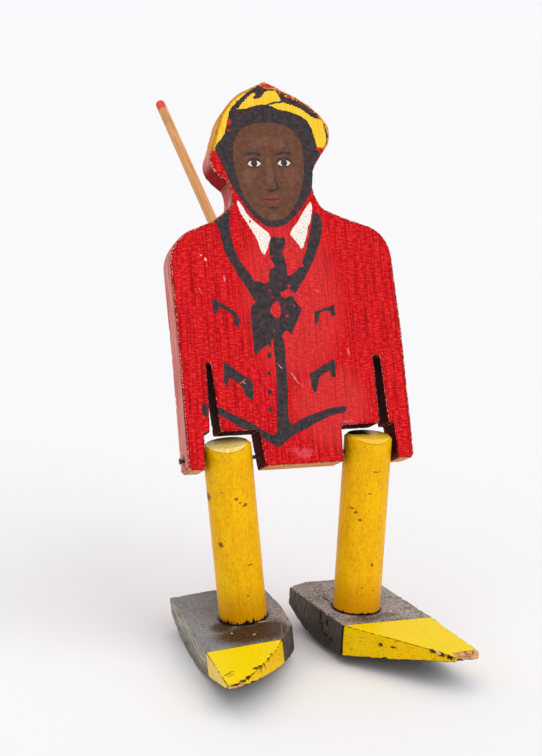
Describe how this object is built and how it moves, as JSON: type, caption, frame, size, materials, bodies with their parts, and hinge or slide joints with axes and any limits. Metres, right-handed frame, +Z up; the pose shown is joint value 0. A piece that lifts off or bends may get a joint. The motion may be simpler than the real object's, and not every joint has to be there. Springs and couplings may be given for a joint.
{
  "type": "dancing toy",
  "caption": "Wooden dancing toy: a flat painted figure held out on a slanting stick, with loose round legs in boat-bottomed shoes that tap and swing when it is jiggled.",
  "frame": {"origin": "on the stick's axis, where its free round length starts, 4 mm out from the middle of the figure's back along the stick", "axes": "+X along the hip nails to the viewer's right, +Y from the printed front towards the back and the stick's far end, +Z up with the legs hanging"},
  "size_m": [0.1394, 0.4318, 0.2987],
  "materials": {
    "red_board": "matt red paint worn thin over the grain, with a black print",
    "yellow_leg": "semi-gloss yellow enamel with scratches",
    "shoe_paint": "worn charcoal paint with a yellow toe",
    "bare_stick": "bare wood darkened by hands, with a red tip",
    "nail_steel": "dark, lightly rusted"
  },
  "bodies": {
    "figure": {"body_board": "red_board", "handle_stick": "bare_stick", "left_hip_nail": "nail_steel", "right_hip_nail": "nail_steel"},
    "left_limb": {"left_leg": "yellow_leg", "left_shoe": "shoe_paint", "left_sole_nail": "nail_steel"},
    "right_limb": {"right_leg": "yellow_leg", "right_shoe": "shoe_paint", "right_sole_nail": "nail_steel"}
  },
  "joints": [
    {"name": "left_hip", "type": "hinge", "parent": "figure", "child": "left_limb", "pos_m": [-0.0375, -0.02659, -0.03365], "axis": [1, 0, 0], "range_deg": [-46.5, 3.5]},
    {"name": "right_hip", "type": "hinge", "parent": "figure", "child": "right_limb", "pos_m": [0.0384, -0.02659, -0.03365], "axis": [1, 0, 0], "range_deg": [-46.5, 3.5]}
  ]
}
